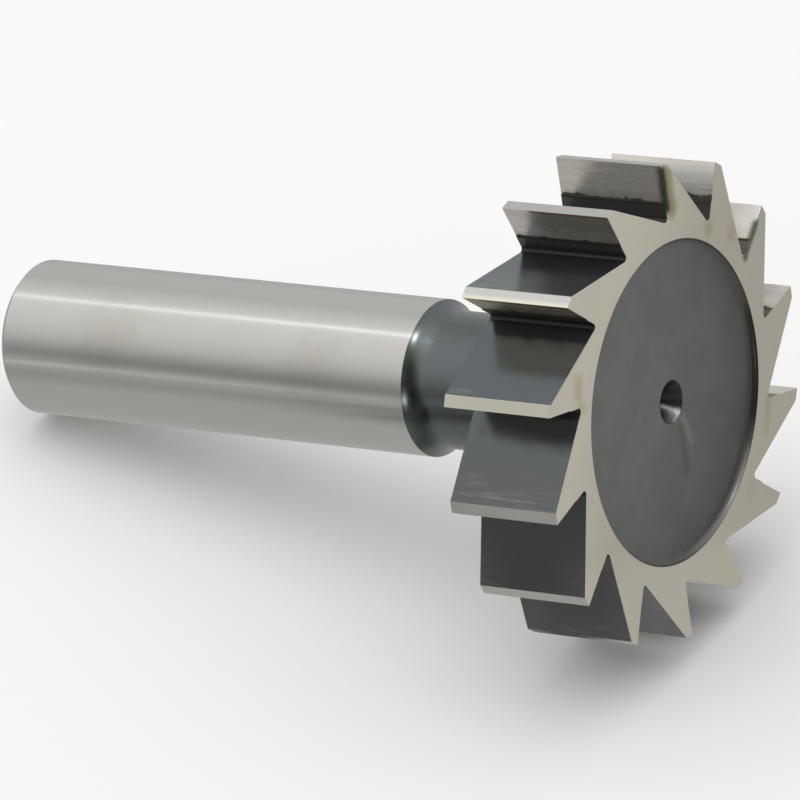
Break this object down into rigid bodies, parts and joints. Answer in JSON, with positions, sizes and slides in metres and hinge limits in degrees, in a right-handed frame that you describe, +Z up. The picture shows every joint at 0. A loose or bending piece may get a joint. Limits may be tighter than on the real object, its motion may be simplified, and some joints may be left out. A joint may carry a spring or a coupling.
{
  "type": "woodruff keyseat cutter",
  "caption": "Shank-type keyseat cutter: a thin wide head with straight milling teeth on a plain round shank, in one piece of tool steel, lying as it comes to rest.",
  "frame": {"origin": "on the bench, under the centre of the lying tool's box", "axes": "+Z up from the bench; +X along the level direction of the cutter's axis, the way its front face looks; +Y to the left when looking along +X. The cutter's own axis slopes up towards the head by 13.8 degrees."},
  "size_m": [0.0648, 0.0384, 0.0389],
  "materials": {
    "tool_steel": "high-speed steel, ground bright on the shank, lands, sides and outer cutting faces, black oxide elsewhere"
  },
  "bodies": {
    "root": {"keyseat_cutter": "tool_steel"}
  },
  "joints": []
}
